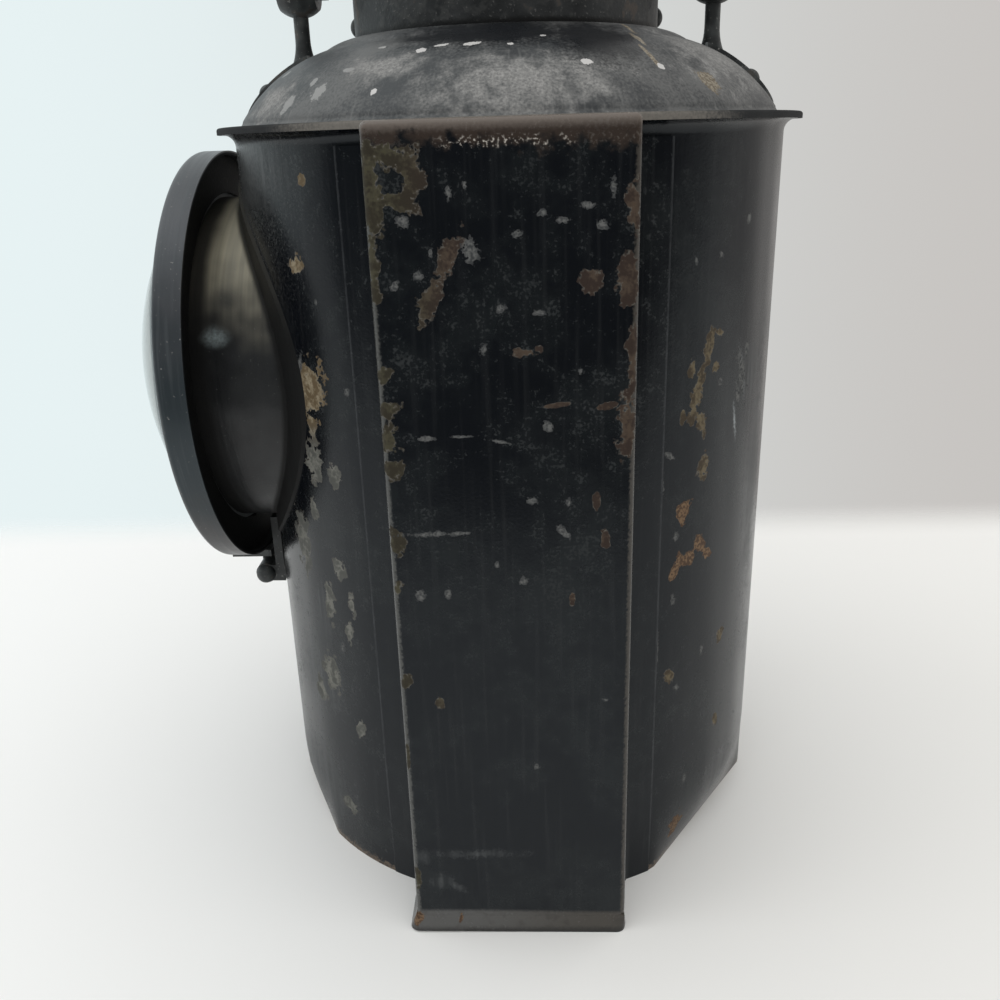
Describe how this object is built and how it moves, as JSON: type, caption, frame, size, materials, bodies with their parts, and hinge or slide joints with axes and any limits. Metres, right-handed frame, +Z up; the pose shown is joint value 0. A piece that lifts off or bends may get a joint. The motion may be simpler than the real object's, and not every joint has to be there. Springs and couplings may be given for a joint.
{
  "type": "railway signal lamp",
  "caption": "Round sheet-steel railway lamp with a bull's-eye lens in a hinged ring, a lamp-iron socket, a vented top, a bail and an oil burner inside.",
  "frame": {"origin": "on the floor, on the axis of the round case, at the middle of the bottom plate", "axes": "+Z up along the case axis, -X out along the lens axis, -Y out through the face of the lamp-iron socket"},
  "size_m": [0.2012, 0.1793, 0.3659],
  "materials": {
    "case_paint": "worn satin black",
    "top_paint": "dusty worn black",
    "ring_paint": "satin dark grey black",
    "forged_iron": "painted black over forged iron",
    "tinplate": "dull tinned steel",
    "burner_brass": "tarnished",
    "silvered": "silvered, slightly dull",
    "lens": "clear pressed glass",
    "gasket": "matte",
    "cotton": "woven cotton"
  },
  "bodies": {
    "case": {"body_shell": "case_paint", "base_plate": "case_paint", "fount_seat": "tinplate", "socket": "case_paint", "lens_neck": "case_paint", "ring_hinge_bracket": "forged_iron", "ring_hinge_pin": "forged_iron", "dome_top": "top_paint", "vent_collar": "top_paint", "collar_rivets": "forged_iron", "ear_left": "forged_iron", "ear_right": "forged_iron", "ear_rivets": "forged_iron", "vent_hinge_bracket": "forged_iron", "vent_hinge_pin": "forged_iron", "reflector": "silvered", "reflector_bracket": "forged_iron"},
    "lens_door": {"lens_ring": "ring_paint", "lens_gasket": "gasket", "lens_glass": "lens", "lens_retainer": "case_paint", "ring_hinge_leaf": "forged_iron"},
    "vent_top": {"vent_lid": "top_paint", "vent_cap": "top_paint", "vent_hinge_leaf": "forged_iron"},
    "bail": {"bail": "forged_iron"},
    "fount": {"fount": "tinplate", "burner_base": "burner_brass", "wick_tube": "burner_brass", "burner_dome": "burner_brass"},
    "filler_cap": {"filler_cap": "burner_brass"},
    "wick_winder": {"wick_winder": "burner_brass"},
    "wick": {"wick": "cotton"}
  },
  "joints": [
    {"name": "bail_swing", "type": "hinge", "parent": "case", "child": "bail", "pos_m": [0, 0, 0.2579], "axis": [1, 0, 0], "range_deg": [-100, 100]},
    {"name": "lens_door_hinge", "type": "hinge", "parent": "case", "child": "lens_door", "pos_m": [-0.0865, 0, 0.0775], "axis": [0, -1, 0], "range_deg": [0, 100]},
    {"name": "vent_top_hinge", "type": "hinge", "parent": "case", "child": "vent_top", "pos_m": [0, 0.0482, 0.2592], "axis": [-1, 0, 0], "range_deg": [0, 110]},
    {"name": "fount_lift", "type": "slide", "parent": "case", "child": "fount", "axis": [0, 0, 1], "range_m": [0, 0.1]},
    {"name": "filler_cap_turn", "type": "hinge", "parent": "fount", "child": "filler_cap", "pos_m": [0.0281, 0, 0.116], "axis": [0, 0, 1], "range_deg": [0, 540]},
    {"name": "wick_winder_turn", "type": "hinge", "parent": "fount", "child": "wick_winder", "pos_m": [0.0046, 0, 0.13], "axis": [0, 1, 0], "range_deg": [-45, 90]},
    {"name": "wick_rise", "type": "slide", "parent": "fount", "child": "wick", "axis": [0, 0, 1], "range_m": [-0.0023, 0.0045]}
  ],
  "couplings": [
    {"joint": "wick_rise", "follows": "wick_winder_turn", "m_per_rad": 0.0028}
  ]
}
